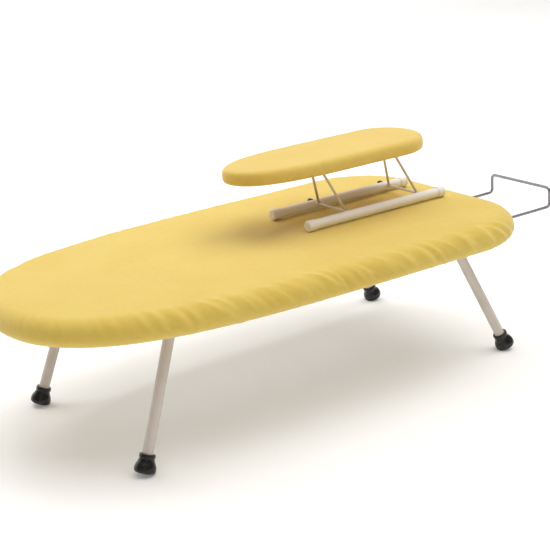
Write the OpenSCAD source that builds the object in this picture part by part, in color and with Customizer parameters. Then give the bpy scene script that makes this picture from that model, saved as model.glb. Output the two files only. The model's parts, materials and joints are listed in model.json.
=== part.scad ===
// Table-top ironing board with folding tube legs, a slide-out wire iron rest
// and a small sleeve board on folding wire stands.
// +X points to the square tail end and the iron rest, +Y to the rear, +Z up.
// The origin is on the table, under the middle of the whole object.

/* [Board] */
// Length of the padded board, nose to tail
board_len = 661.6; // [640:0.1:700]
// Width of the padded board
board_w = 356.4; // [350:0.1:380]
// Height of the ironing surface above the table
board_top = 184; // [184:0.1:200]
// Radius of the two tail corners, seen from above
tail_r = 102; // [80:1:120]
// Distance from the tail at which the nose starts to narrow
nose_start = 85; // [70:1:100]
// How long the sides stay straight before the nose: a larger number is squarer
nose_fullness = 4.78; // [3:0.01:6]
// How blunt the nose tip is: 2 is an ellipse's tip
nose_bluntness = 2.34; // [2:0.01:3]

/* [Padding] */
// Width and height of the upper rounding of the padded edge
edge_top = [19.5, 18]; // [17:0.1:20]
// Width and height of the lower rounding of the padded edge
edge_low = [15, 13.7]; // [13:0.1:15]
// Thickness of the cotton cover
cloth_t = 0.6; // [0.5:0.1:0.8]
// How far the gathered hem reaches in under the board
hem_w = 25; // [20:1:26]
// Diameter of the elastic cord in the hem
elastic_d = 3; // [2:0.1:3]

/* [Deck] */
// Thickness of the pressed steel deck
deck_t = 1; // [0.8:0.1:1.5]
// Distance from the edge of the padded board to the deck's rim
rim_inset = 8; // [7.5:0.1:9]
// Height of the deck's turned-down rim
rim_h = 19; // [16:1:19]
// Diameter of a steam hole
vent_d = 8; // [5:1:12]
// Spacing of the steam holes along and across the board
vent_pitch = [42, 40]; // [30:1:50]

/* [Legs] */
// Diameter of the leg tube
tube_d = 12.7; // [11:0.1:13]
// Wall thickness of the leg tube
tube_wall = 1.2; // [1:0.1:1.5]
// Radius of the bends in the leg tube
tube_bend = 20; // [16:1:24]
// Height of the leg pivots above the table
pivot_z = 160; // [159:0.1:161]
// Half the spacing of the nose legs at the pivot
nose_leg_y = 114.3; // [112:0.1:116]
// How much further out each nose foot stands
nose_splay = 14.3; // [12:0.1:16]
// Outward lean of the nose legs
nose_lean = 20.9; // [18:0.1:24]
// Half the spacing of the tail legs at the pivot
tail_leg_y = 117.6; // [115:0.1:118]
// How much further out each tail foot stands
tail_splay = 17.5; // [15:0.1:18]
// Outward lean of the tail legs
tail_lean = 25; // [20:0.1:26]
// Diameter of a rubber foot at its base
foot_d = 24.4; // [22:0.1:26]
// Diameter of a rubber foot at its neck
foot_neck_d = 17.6; // [16:0.1:19]
// Height of a rubber foot along its leg
foot_h = 21; // [20:1:28]

/* [Iron rest] */
// Diameter of the iron rest's wire
rest_d = 4; // [3.5:0.1:4]
// Spacing of the iron rest's two arms
rest_w = 111; // [100:1:114]
// How far the iron rest reaches out past the tail
rest_reach = 129.4; // [125:0.1:140]
// Height of the arms above the table
rest_z = 139.5; // [138:0.1:141]
// Rise of the crossbar above the arms
rest_rise = 25.8; // [20:0.1:30]
// How far the iron rest slides in
rest_travel = 118; // [100:1:120]

/* [Sleeve stand] */
// Distance of the sleeve board's centre line behind the main one
sleeve_y = 10; // [0:1:15]
// Length of a runner with its end caps
runner_len = 220.6; // [200:0.1:240]
// Diameter of a runner tube
runner_d = 12.2; // [11:0.1:13]
// Half the spacing of the two runners
runner_half = 37.5; // [36:0.1:40]
// Diameter of a runner's end cap
runner_cap_d = 14; // [13.4:0.1:15]
// Diameter of the stand wire
stand_d = 3.3; // [3:0.1:3.4]
// Spacing of the two stands along the runners
stand_pitch = 116; // [100:1:120]
// Height of the stands' lower pivots above the runners' centre lines
stand_pivot_up = 2.6; // [0:0.1:2.6]
// Height from a stand's lower pivot to its upper one
stand_rise = 61.4; // [60:0.1:64]
// How far the upper pivot lies nearer the nose than the lower one
stand_offset = 25.2; // [20:0.1:28]
// Half the width of a stand at its foot
stand_foot_half = 28.4; // [27:0.1:28.6]
// Half the width of a stand at its top
stand_top_half = 8.8; // [8.4:0.1:10]

/* [Sleeve board] */
// Length of the padded sleeve board
sleeve_len = 289.7; // [270:0.1:300]
// Width of the padded sleeve board
sleeve_w = 107.2; // [100:0.1:120]
// Thickness of the padded sleeve board
sleeve_t = 17.7; // [17.7:0.1:20]
// Thickness of its wooden board
sleeve_wood_t = 10.4; // [8:0.1:10.4]
// Distance from the tail at which the sleeve board starts to narrow
sleeve_start = 99.7; // [90:0.1:110]
// How long its sides stay straight before the nose
sleeve_fullness = 4.1; // [3:0.1:5]
// How blunt its nose tip is
sleeve_bluntness = 2.16; // [2:0.01:2.6]

/* [Hidden] */

$fn = 48;
fit_gap = 0.1;      // radial clearance of a pivot or slide
layer_gap = 0.2;    // gap between two layers of padding
body_gap = 0.3;     // gap between parts that move apart
sheet_t = 1.5;      // clamps and guides

tail_x = (board_len - rest_reach) / 2;
nose_pivot_x = tail_x - 506.4;
tail_pivot_x = tail_x - 107;
deck_z = board_top - 7.5;           // top of the deck
deck_low_z = deck_z - deck_t;       // underside of the deck
edge_z = board_top - edge_top.y;    // widest level of the padded edge
under_z = edge_z - edge_low.y;      // underside of the hem

clamp_y = [76, 92];
stop_y = [104, 121];
rivet_offset = 15;
rivet_d = 4;
rivet_head = [3.6, 1.4];
guide_x = [tail_x - 146, tail_x - 50];
guide_w = 18;

rest_bar_x = tail_x + rest_reach - rest_d / 2;
rest_tip_x = tail_x - 160;
rest_hook = 9;
rest_bend = 6;

runner_tail_x = tail_x - 38.6;
runner_z = board_top + body_gap + runner_cap_d / 2;
runner_wall = 1.6;
cap_len = 12;
stand_x = [tail_x - 75 - stand_pitch, tail_x - 75];
stand_bend = 3.5;
collar_len = 4.6;
collar_d = 5;

sleeve_tail_x = tail_x - 54.8;
stand_pivot_z = runner_z + stand_pivot_up;
sleeve_pivot_z = stand_pivot_z + stand_rise;
wood_z = sleeve_pivot_z + stand_d / 2 + 0.15;
sleeve_low_z = wood_z - 2.8;
sleeve_edge_top = [11, 11];
sleeve_edge_low = [4.5, sleeve_t - 11];
sleeve_edge_z = sleeve_low_z + sleeve_edge_low.y;
sleeve_hem = 15;
sleeve_cloth_t = 0.5;
sleeve_elastic_d = 2.4;
clip_w = 10;
clip_half_len = 11;
screw_offset = 7.5;
screw_d = 2.5;
foot_flat = 1.4;
foot_floor = 6;     // rubber under the tube's end

// ---- outlines ----

// Half the width at a share t of the nose's quarter turn: a superellipse
function nose_point(len, half, start, p, q, t) =
    [-start - (len - start) * pow(sin(t), 2 / p), half * pow(cos(t), 2 / q)];

// One side of a board from the middle of the tail to the tip, tail end at x = 0
function side_points(len, w, r, start, p, q, steps) = concat(
    [for (i = [0 : steps]) let (a = 90 * i / steps)
        [-r + r * cos(a), w / 2 - r + r * sin(a)]],
    [for (i = [1 : 2 * steps]) let (t = 90 * (i + 0.5) / (2 * steps + 0.5))
        nose_point(len, w / 2, max(start, r), p, q, t)]);

// Both sides joined into one closed outline, turning left all the way round
function whole_outline(side) = concat(
    side, [for (i = [len(side) - 2 : -1 : side[0].y > 0 ? 0 : 1]) [side[i].x, -side[i].y]]);

function edge_normal(a, b) = let (d = b - a) [-d.y, d.x] / norm(d);

// The outline moved inwards so that every edge stays parallel to itself
function inset(pts, d) = [for (i = [0 : len(pts) - 1])
    let (n = len(pts),
         u = edge_normal(pts[(i + n - 1) % n], pts[i]),
         v = edge_normal(pts[i], pts[(i + 1) % n]))
    pts[i] + d * (u + v) / (1 + u * v)];

function moved(pts, by) = [for (p = pts) p + by];

board_outline = moved(whole_outline(
    side_points(board_len, board_w, tail_r, nose_start, nose_fullness, nose_bluntness, 10)),
    [tail_x, 0]);
sleeve_outline = moved(whole_outline(
    side_points(sleeve_len, sleeve_w, sleeve_w / 2, sleeve_start, sleeve_fullness,
                sleeve_bluntness, 10)),
    [sleeve_tail_x, sleeve_y]);

// ---- padded shells ----

// Edge profile of a layer g below the surface, from underneath round to the top
function edge_profile(mid_z, top, low, g, steps = 5) = concat(
    [for (i = [0 : steps]) let (a = -90 + 90 * i / steps)
        [g + (low.x - g) * (1 - cos(a)), mid_z + (low.y - g) * sin(a)]],
    [for (i = [1 : steps]) let (a = 90 * i / steps)
        [g + (top.x - g) * (1 - cos(a)), mid_z + (top.y - g) * sin(a)]]);

// A closed solid: rings of the outline at each [inset, z] of the profile, both ends capped
module ring_solid(outline, profile) {
    n = len(outline);
    m = len(profile);
    points = [for (p = profile) for (q = inset(outline, p.x)) [q.x, q.y, p.y]];
    walls = [for (j = [0 : m - 2]) for (i = [0 : n - 1])
        let (k = (i + 1) % n)
        [j * n + i, (j + 1) * n + i, (j + 1) * n + k, j * n + k]];
    first = [for (i = [0 : n - 1]) i];
    last = [for (i = [n - 1 : -1 : 0]) (m - 1) * n + i];
    polyhedron(points, concat([first], walls, [last]), convexity = 6);
}

// A round cord that follows the outline at one inset and height
module outline_cord(outline, in, z, d) {
    path = inset(outline, in);
    n = len(path);
    sides = 8;
    points = [for (i = [0 : n - 1]) for (s = [0 : sides - 1])
        let (u = edge_normal(path[(i + n - 1) % n], path[(i + 1) % n]),
             a = 360 * s / sides,
             p = path[i] + u * cos(a) * d / 2)
        [p.x, p.y, z + sin(a) * d / 2]];
    faces = [for (i = [0 : n - 1]) for (s = [0 : sides - 1])
        let (k = (i + 1) % n, t = (s + 1) % sides)
        [i * sides + s, k * sides + s, k * sides + t, i * sides + t]];
    polyhedron(points, faces, convexity = 6);
}

// ---- bent rods and tubes ----

function unit(v) = v / norm(v);

// Distance from a corner to where its bend starts
function bend_trim(a, b, c, r) =
    let (turn = acos(unit(b - a) * unit(c - b))) r * tan(turn / 2);

// A straight round bar from a to b, longer by lap at both ends
module bar(a, b, d, lap = 0) {
    v = b - a;
    translate(a - unit(v) * lap)
        rotate([0, acos(v.z / norm(v)), atan2(v.y, v.x)])
            cylinder(h = norm(v) + 2 * lap, d = d);
}

// The bend of radius r at corner b of a rod that runs from a to c
module bend(a, b, c, r, d) {
    in_dir = unit(b - a);
    out_dir = unit(c - b);
    turn = acos(in_dir * out_dir);
    start = b - in_dir * bend_trim(a, b, c, r);
    side = unit(out_dir - in_dir * (in_dir * out_dir));
    x = -side;
    y = in_dir;
    z = cross(x, y);
    o = start + side * r;
    multmatrix([[x.x, y.x, z.x, o.x], [x.y, y.y, z.y, o.y], [x.z, y.z, z.z, o.z], [0, 0, 0, 1]])
        rotate_extrude(angle = turn)
            translate([r, 0])
                circle(d = d);
}

// A rod through the points, with a round bend at each corner between the ends.
// Its straight stretches run on by lap, and its bends are slimmer by slim.
module bent_rod(pts, r, d, lap = 0, slim = 0) {
    n = len(pts);
    trims = [for (i = [0 : n - 1])
        i == 0 || i == n - 1 ? 0 : bend_trim(pts[i - 1], pts[i], pts[i + 1], r)];
    for (i = [0 : n - 2]) {
        dir = unit(pts[i + 1] - pts[i]);
        bar(pts[i] + dir * trims[i], pts[i + 1] - dir * trims[i + 1], d, lap);
    }
    for (i = [1 : n - 2])
        bend(pts[i - 1], pts[i], pts[i + 1], r, d - slim);
}

// Points round the bend of radius r at corner b of a wire that runs from a to c
function bend_points(a, b, c, r, steps = 6) =
    let (in_dir = unit(b - a),
         out_dir = unit(c - b),
         turn = acos(in_dir * out_dir),
         start = b - in_dir * bend_trim(a, b, c, r),
         side = unit(out_dir - in_dir * (in_dir * out_dir)))
    [for (k = [0 : steps]) let (t = turn * k / steps)
        start + in_dir * r * sin(t) + side * r * (1 - cos(t))];

// The points of a flat wire's route with every inner corner rounded
function bent_route(pts, r) = concat(
    [pts[0]],
    [for (i = [1 : len(pts) - 2]) each bend_points(pts[i - 1], pts[i], pts[i + 1], r)],
    [pts[len(pts) - 1]]);

// A round wire along a flat route; normal is square to the route's plane
module swept_wire(route, normal, d, sides = 12) {
    n = len(route);
    points = [for (i = [0 : n - 1]) for (s = [0 : sides - 1])
        let (before = i > 0 ? unit(route[i] - route[i - 1]) : unit(route[1] - route[0]),
             after = i < n - 1 ? unit(route[i + 1] - route[i]) : before,
             out = cross(unit(before + after), normal))
        route[i] + (normal * cos(360 * s / sides) + out * sin(360 * s / sides)) * d / 2];
    walls = [for (i = [0 : n - 2]) for (s = [0 : sides - 1])
        let (t = (s + 1) % sides)
        [i * sides + s, i * sides + t, (i + 1) * sides + t, (i + 1) * sides + s]];
    first = [for (s = [sides - 1 : -1 : 0]) s];
    last = [for (s = [0 : sides - 1]) (n - 1) * sides + s];
    polyhedron(points, concat([first], walls, [last]), convexity = 6);
}

// ---- main board ----

// True where a clamp, a guide or its rivets need the deck's metal
function keep_solid(x, y) =
    (abs(x - nose_pivot_x) < 32 && abs(y) > 60) ||
    (abs(x - tail_pivot_x) < 32 && abs(y) > 60) ||
    (min([for (g = guide_x) abs(x - g)]) < 24 && abs(abs(y) - rest_w / 2) < 20);

// Half the deck's width at x, measured on the nose's curve
function half_width(x) =
    let (s = max(0, (tail_x - x - nose_start) / (board_len - nose_start)))
    board_w / 2 * pow(max(0, 1 - pow(s, nose_fullness)), 1 / nose_bluntness);

module vent_holes() {
    for (i = [0 : 13], j = [-3 : 3]) {
        x = tail_x - 58 - i * vent_pitch.x;
        y = j * vent_pitch.y;
        if (abs(y) < half_width(x) - 32 && !keep_solid(x, y))
            translate([x, y, deck_low_z - 1])
                cylinder(h = deck_t + 2, d = vent_d);
    }
}

module rivet_holes(places) {
    for (p = places)
        translate([p.x, p.y, deck_low_z - sheet_t - 1])
            cylinder(h = deck_t + sheet_t + 2, d = rivet_d);
}

module rivets(places) {
    for (p = places)
        translate([p.x, p.y, 0]) {
            translate([0, 0, deck_low_z - sheet_t])
                cylinder(h = deck_t + sheet_t, d = rivet_d);
            translate([0, 0, deck_low_z - sheet_t - rivet_head.y])
                cylinder(h = rivet_head.y, r1 = rivet_head.x * 0.7, r2 = rivet_head.x);
        }
}

clamp_mid_y = (clamp_y[0] + clamp_y[1]) / 2;
clamp_rivet_places = [for (x = [nose_pivot_x, tail_pivot_x], dx = [-rivet_offset, rivet_offset],
                           s = [-1, 1]) [x + dx, s * clamp_mid_y]];
guide_rivet_places = [for (x = guide_x, dy = [-5, 5], s = [-1, 1])
                      [x - 8, s * rest_w / 2 + dy]];

module deck_plate() {
    color("silver")
    difference() {
        translate([0, 0, deck_z - rim_h])
            linear_extrude(rim_h)
                polygon(inset(board_outline, rim_inset));
        translate([0, 0, deck_z - rim_h - 1])
            linear_extrude(rim_h + 1 - deck_t)
                polygon(inset(board_outline, rim_inset + deck_t));
        vent_holes();
        rivet_holes(concat(clamp_rivet_places, guide_rivet_places));
    }
}

module underlay_pad() {
    g = cloth_t + layer_gap;
    wall = rim_inset - body_gap;
    color("ivory")
    ring_solid(board_outline, concat(
        [[wall, deck_z + body_gap], [wall, deck_z - rim_h - body_gap], [hem_w, under_z + 3.2],
         [hem_w, under_z + g]],
        edge_profile(edge_z, edge_top, edge_low, g)));
}

module board_cover() {
    skin = edge_profile(edge_z, edge_top, edge_low, cloth_t);
    face = edge_profile(edge_z, edge_top, edge_low, 0);
    color([0.92, 0.83, 0.47])
    ring_solid(board_outline, concat(
        [for (i = [len(skin) - 1 : -1 : 0]) skin[i]],
        [[hem_w, under_z + cloth_t], [hem_w, under_z]],
        face));
}

module cover_elastic() {
    color("white")
    outline_cord(board_outline, hem_w + elastic_d / 2 + body_gap, under_z + 0.4 + elastic_d / 2,
                 elastic_d);
}

// ---- folding legs ----

// A strap round the pivot tube
module clamp_strap(pivot_x, r, w) {
    translate([pivot_x, clamp_y[0] - w, pivot_z])
        rotate([-90, 0, 0])
            cylinder(h = clamp_y[1] - clamp_y[0] + 2 * w, r = r);
    translate([pivot_x - r, clamp_y[0] - w, pivot_z])
        cube([2 * r, clamp_y[1] - clamp_y[0] + 2 * w, deck_low_z - pivot_z + w]);
}

// One clamp: a strap on a base plate, with a tab that the opened leg rests on.
// side is -1 towards the nose, where the nose legs lean, and 1 towards the tail.
module leg_clamp(pivot_x, lean, side) {
    bore_r = tube_d / 2 + fit_gap;
    plate_x = rivet_offset + 6;
    difference() {
        union() {
            clamp_strap(pivot_x, bore_r + sheet_t, 0);
            translate([pivot_x, 0, deck_low_z - sheet_t])
                linear_extrude(sheet_t)
                    polygon([[-side * plate_x, clamp_y[0]], [side * plate_x, clamp_y[0]],
                             [side * plate_x, stop_y[1]], [side * 2, stop_y[1]],
                             [side * 2, stop_y[0] - 2], [side * 9.5, stop_y[0] - 5],
                             [side * 9.5, clamp_y[1]], [-side * plate_x, clamp_y[1]]]);
            intersection() {
                translate([pivot_x, stop_y[0], pivot_z])
                    rotate([0, -side * lean, 0])
                        translate([side > 0 ? tube_d / 2 + body_gap
                                            : -tube_d / 2 - body_gap - 2, 0, -15])
                            cube([2, stop_y[1] - stop_y[0] - 1, 40]);
                translate([pivot_x - 60, 0, 0])
                    cube([120, 200, deck_low_z - 0.5]);
            }
        }
        clamp_strap(pivot_x, bore_r, 1);
        rivet_holes(clamp_rivet_places);
    }
}

module leg_clamps(pivot_x, lean, side) {
    color("gainsboro")
    for (m = [0, 1])
        mirror([0, m, 0])
            leg_clamp(pivot_x, lean, side);
}

module nose_leg_clamps() leg_clamps(nose_pivot_x, nose_lean, -1);

module tail_leg_clamps() leg_clamps(tail_pivot_x, tail_lean, 1);

module clamp_rivets() {
    color("silver") rivets(clamp_rivet_places);
}

// The leg's axis in the frame's own plane, from the pivot down to the table
function leg_length(lean) = pivot_z / cos(lean);

// Places its children in a leg frame's plane: Y across, -Z down the legs
module in_leg_plane(pivot_x, lean, side) {
    translate([pivot_x, 0, pivot_z])
        rotate([0, -side * lean, 0])
            children();
}

// How far down the legs a foot's base lies: its lowest edge would reach foot_flat
// below the table, and is cut off level there
function foot_rest(lean, splay) =
    let (down = unit([0, splay, -leg_length(lean)]), tilt = acos(-down.z * cos(lean)))
    leg_length(lean) - (foot_d / 2 * sin(tilt) - foot_flat) / cos(lean);

module leg_tube(pivot_x, lean, side, y, splay) {
    lap = 0.5;
    reach = foot_rest(lean, splay) - foot_floor - lap;
    spread = y + splay * reach / leg_length(lean);
    route = [[0, -spread, -reach], [0, -y, 0], [0, y, 0], [0, spread, -reach]];
    color([0.85, 0.83, 0.78])
    in_leg_plane(pivot_x, lean, side)
        difference() {
            bent_rod(route, tube_bend, tube_d, lap, 0.04);
            bent_rod(route, tube_bend, tube_d - 2 * tube_wall, 1.5 * lap, 0.1);
        }
}

module nose_leg_tube() leg_tube(nose_pivot_x, nose_lean, -1, nose_leg_y, nose_splay);

module tail_leg_tube() leg_tube(tail_pivot_x, tail_lean, 1, tail_leg_y, tail_splay);

// A bell of rubber pushed over the tube's end, with its lowest edge worn flat on the table
module foot(pivot_x, lean, side, y, splay, row) {
    base = foot_rest(lean, splay);
    base_y = y + splay * base / leg_length(lean);
    color([0.06, 0.06, 0.06])
    difference() {
        in_leg_plane(pivot_x, lean, side)
            mirror([0, row < 0 ? 1 : 0, 0])
                translate([0, base_y, -base])
                    rotate([atan(splay / leg_length(lean)), 0, 0])
                        foot_bell();
        translate([pivot_x - 300, -300, -100])
            cube([600, 600, 100]);
    }
}

module foot_bell() {
    base_r = foot_d / 2;
    neck_r = foot_neck_d / 2;
    round_r = 2.5;
    rotate_extrude()
        polygon(concat(
            [[0, foot_floor], [0, 0]],
            [for (a = [-90 : 30 : 0]) [base_r - round_r + round_r * cos(a), round_r + round_r * sin(a)]],
            [[base_r, 8], [neck_r, foot_h - 6], [neck_r, foot_h - 1], [neck_r - 1, foot_h],
             [tube_d / 2, foot_h], [tube_d / 2, foot_floor]]));
}

module nose_foot_front() foot(nose_pivot_x, nose_lean, -1, nose_leg_y, nose_splay, -1);

module nose_foot_rear() foot(nose_pivot_x, nose_lean, -1, nose_leg_y, nose_splay, 1);

module tail_foot_front() foot(tail_pivot_x, tail_lean, 1, tail_leg_y, tail_splay, -1);

module tail_foot_rear() foot(tail_pivot_x, tail_lean, 1, tail_leg_y, tail_splay, 1);

// ---- iron rest ----

module iron_rest_wire() {
    h = rest_w / 2;
    top_z = rest_z + rest_rise;
    color([0.58, 0.58, 0.6])
    bent_rod([[rest_tip_x, -h - rest_hook, rest_z], [rest_tip_x, -h, rest_z],
              [rest_bar_x, -h, rest_z], [rest_bar_x, -h, top_z],
              [rest_bar_x, h, top_z], [rest_bar_x, h, rest_z],
              [rest_tip_x, h, rest_z], [rest_tip_x, h + rest_hook, rest_z]],
             rest_bend, rest_d);
}

// A bent strip under the deck with a hole for one arm
module rest_guide(x) {
    low_z = rest_z - rest_d / 2 - 4;
    difference() {
        translate([x, rest_w / 2 - guide_w / 2, 0]) {
            translate([0, 0, low_z])
                cube([2, guide_w, deck_low_z - low_z]);
            translate([-13, 0, deck_low_z - sheet_t])
                cube([15, guide_w, sheet_t]);
        }
        translate([x - 1, rest_w / 2, rest_z])
            rotate([0, 90, 0])
                cylinder(h = 4, d = rest_d + 2 * fit_gap);
        rivet_holes(guide_rivet_places);
    }
}

module iron_rest_guides() {
    color("gainsboro")
    for (m = [0, 1], x = guide_x)
        mirror([0, m, 0])
            rest_guide(x);
}

module guide_rivets() {
    color("silver") rivets(guide_rivet_places);
}

// ---- sleeve stand ----

runner_nose_x = runner_tail_x - runner_len;
axle_front_y = sleeve_y - runner_half - 1;
axle_rear_y = sleeve_y + runner_half + runner_d / 2 + 6;

module runner(y, both_walls) {
    color("white")
    difference() {
        translate([runner_nose_x + 2, y, runner_z])
            rotate([0, 90, 0])
                difference() {
                    cylinder(h = runner_len - 4, d = runner_d);
                    translate([0, 0, -1])
                        cylinder(h = runner_len, d = runner_d - 2 * runner_wall);
                }
        for (x = stand_x)
            translate([x, both_walls ? y - runner_d : y, stand_pivot_z])
                rotate([-90, 0, 0])
                    cylinder(h = (both_walls ? 2 : 1) * runner_d, d = stand_d + 2 * fit_gap);
    }
}

module runner_front() runner(sleeve_y - runner_half, false);

module runner_rear() runner(sleeve_y + runner_half, true);

// A moulded cup over a runner's end, round-nosed, open towards the runner
module runner_cap() {
    r = runner_cap_d / 2;
    round_r = 2.5;
    rotate_extrude()
        difference() {
            union() {
                square([r - round_r, cap_len]);
                translate([0, round_r]) square([r, cap_len - round_r]);
                translate([r - round_r, round_r]) circle(r = round_r);
            }
            translate([0, 2]) square([runner_d / 2, cap_len]);
            translate([-r, 0]) square([r, cap_len]);
        }
}

module runner_caps(y) {
    color("white")
    for (m = [0, 1])
        translate([m == 0 ? runner_nose_x : runner_tail_x, y, runner_z])
            rotate([0, m == 0 ? 90 : -90, 0])
                runner_cap();
}

module runner_front_caps() runner_caps(sleeve_y - runner_half);

module runner_rear_caps() runner_caps(sleeve_y + runner_half);

// A wire arch whose feet are welded into the axle's collars
module stand_wire(x) {
    foot = [x, sleeve_y, stand_pivot_z];
    top = [x - stand_offset, sleeve_y, sleeve_pivot_z];
    across = [0, 1, 0];
    foot_out = foot + across * stand_foot_half;
    top_out = top + across * stand_top_half;
    weld = unit(top_out - foot_out) * stand_d * 0.55;
    color([0.75, 0.72, 0.68])
    swept_wire(bent_route([foot - across * stand_foot_half + [weld.x, -weld.y, weld.z],
                           top - across * stand_top_half, top_out, foot_out + weld],
                          stand_bend),
               unit(cross(top - foot, across)), stand_d);
}

// The axle that turns in both runners, with a collar at each foot of the arch
module stand_axle(x) {
    color([0.75, 0.72, 0.68]) {
        bar([x, axle_front_y, stand_pivot_z], [x, axle_rear_y, stand_pivot_z], stand_d);
        for (s = [-1, 1])
            translate([x, sleeve_y + s * stand_foot_half - collar_len / 2, stand_pivot_z])
                rotate([-90, 0, 0])
                    cylinder(h = collar_len, d = collar_d);
    }
}

// A push-on cap that keeps the axle in the rear runner
module stand_cap(x) {
    color([0.15, 0.13, 0.12])
    translate([x, axle_rear_y - 5, stand_pivot_z])
        rotate([-90, 0, 0])
            difference() {
                union() {
                    cylinder(h = 4.5, r = 3.2);
                    translate([0, 0, 4.5]) cylinder(h = 1.5, r1 = 3.2, r2 = 2);
                }
                translate([0, 0, -1]) cylinder(h = 6, d = stand_d);
            }
}

module nose_stand_wire() stand_wire(stand_x[0]);

module nose_stand_axle() stand_axle(stand_x[0]);

module nose_stand_cap() stand_cap(stand_x[0]);

module tail_stand_wire() stand_wire(stand_x[1]);

module tail_stand_axle() stand_axle(stand_x[1]);

module tail_stand_cap() stand_cap(stand_x[1]);

// ---- sleeve board ----

clip_x = [for (x = stand_x) x - stand_offset];
screw_places = [for (x = clip_x, dx = [-screw_offset, screw_offset]) [x + dx, sleeve_y]];

module sleeve_deck() {
    color("burlywood")
    difference() {
        translate([0, 0, wood_z])
            linear_extrude(sleeve_wood_t)
                polygon(inset(sleeve_outline, 5));
        for (p = screw_places)
            translate([p.x, p.y, wood_z - 1])
                cylinder(h = 7, d = screw_d);
    }
}

module sleeve_pad() {
    g = sleeve_cloth_t + layer_gap;
    color("ivory")
    ring_solid(sleeve_outline, concat(
        [[5 - layer_gap, wood_z + sleeve_wood_t + layer_gap], [5 - layer_gap, wood_z - layer_gap],
         [sleeve_hem, wood_z - layer_gap], [sleeve_hem, sleeve_low_z + g]],
        edge_profile(sleeve_edge_z, sleeve_edge_top, sleeve_edge_low, g, 4)));
}

module sleeve_cover() {
    skin = edge_profile(sleeve_edge_z, sleeve_edge_top, sleeve_edge_low, sleeve_cloth_t, 4);
    face = edge_profile(sleeve_edge_z, sleeve_edge_top, sleeve_edge_low, 0, 4);
    color([0.91, 0.82, 0.5])
    ring_solid(sleeve_outline, concat(
        [for (i = [len(skin) - 1 : -1 : 0]) skin[i]],
        [[sleeve_hem, sleeve_low_z + sleeve_cloth_t], [sleeve_hem, sleeve_low_z]],
        face));
}

module sleeve_elastic() {
    color("white")
    outline_cord(sleeve_outline, sleeve_hem + sleeve_elastic_d / 2 + layer_gap,
                 sleeve_low_z + 0.2 + sleeve_elastic_d / 2, sleeve_elastic_d);
}

// A strap under the wooden board that holds a stand's top bar
module hinge_clip(x, gap) {
    bore_r = stand_d / 2 + gap;
    strap_r = bore_r + 1.1;
    difference() {
        translate([x, sleeve_y - clip_w / 2, 0]) {
            translate([0, 0, sleeve_pivot_z])
                rotate([-90, 0, 0])
                    cylinder(h = clip_w, r = strap_r);
            translate([-clip_half_len, 0, wood_z - 1])
                cube([2 * clip_half_len, clip_w, 1]);
        }
        translate([x, sleeve_y - clip_w / 2 - 1, sleeve_pivot_z])
            rotate([-90, 0, 0])
                cylinder(h = clip_w + 2, r = bore_r);
        translate([x - bore_r, sleeve_y - clip_w / 2 - 1, sleeve_pivot_z])
            cube([2 * bore_r, clip_w + 2, 20]);
        translate([x - 10, sleeve_y - clip_w, wood_z])
            cube([20, 2 * clip_w, 20]);
        for (p = screw_places)
            translate([p.x, p.y, wood_z - 2])
                cylinder(h = 3, d = screw_d);
    }
}

module hinge_clips() {
    color("silver") {
        hinge_clip(clip_x[0], fit_gap);
        hinge_clip(clip_x[1], 0.35);
    }
}

module clip_screws() {
    color("silver")
    for (p = screw_places)
        translate([p.x, p.y, wood_z - 1]) {
            cylinder(h = 6.5, d = screw_d);
            translate([0, 0, -1.3]) cylinder(h = 1.3, r1 = 1.6, r2 = 2.3);
        }
}

deck_plate();
underlay_pad();
board_cover();
cover_elastic();
nose_leg_clamps();
tail_leg_clamps();
clamp_rivets();
iron_rest_guides();
guide_rivets();
nose_leg_tube();
nose_foot_front();
nose_foot_rear();
tail_leg_tube();
tail_foot_front();
tail_foot_rear();
iron_rest_wire();
runner_front();
runner_rear();
runner_front_caps();
runner_rear_caps();
nose_stand_wire();
nose_stand_axle();
nose_stand_cap();
tail_stand_wire();
tail_stand_axle();
tail_stand_cap();
sleeve_deck();
sleeve_pad();
sleeve_cover();
sleeve_elastic();
hinge_clips();
clip_screws();
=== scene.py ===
"""Table-top ironing board: the looks of its covers, padding, wires, tubes and feet."""
import json
import bmesh
import bpy
import numpy as np
from mathutils import Matrix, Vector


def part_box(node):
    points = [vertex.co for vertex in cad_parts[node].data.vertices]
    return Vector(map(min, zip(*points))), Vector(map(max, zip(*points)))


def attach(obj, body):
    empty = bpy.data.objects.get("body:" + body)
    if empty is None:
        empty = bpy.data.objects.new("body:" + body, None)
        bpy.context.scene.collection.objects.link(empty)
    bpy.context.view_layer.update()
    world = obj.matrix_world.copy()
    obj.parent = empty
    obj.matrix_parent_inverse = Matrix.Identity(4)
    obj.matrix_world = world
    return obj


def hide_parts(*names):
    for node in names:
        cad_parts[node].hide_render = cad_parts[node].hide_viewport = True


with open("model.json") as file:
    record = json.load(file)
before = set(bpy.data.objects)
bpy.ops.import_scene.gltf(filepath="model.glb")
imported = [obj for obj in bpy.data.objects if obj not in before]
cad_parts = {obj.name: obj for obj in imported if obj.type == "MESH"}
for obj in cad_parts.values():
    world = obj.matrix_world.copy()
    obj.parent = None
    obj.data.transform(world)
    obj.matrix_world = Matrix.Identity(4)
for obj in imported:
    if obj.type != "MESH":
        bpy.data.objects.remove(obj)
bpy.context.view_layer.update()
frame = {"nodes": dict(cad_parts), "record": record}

TAU = 2 * np.pi
MM = 0.001


def node_box(name):
    """Lowest and highest corner of a frame node as numpy arrays, in metres."""
    low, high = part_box(name)
    return np.array(low), np.array(high)


# ---- meshes ----

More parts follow.
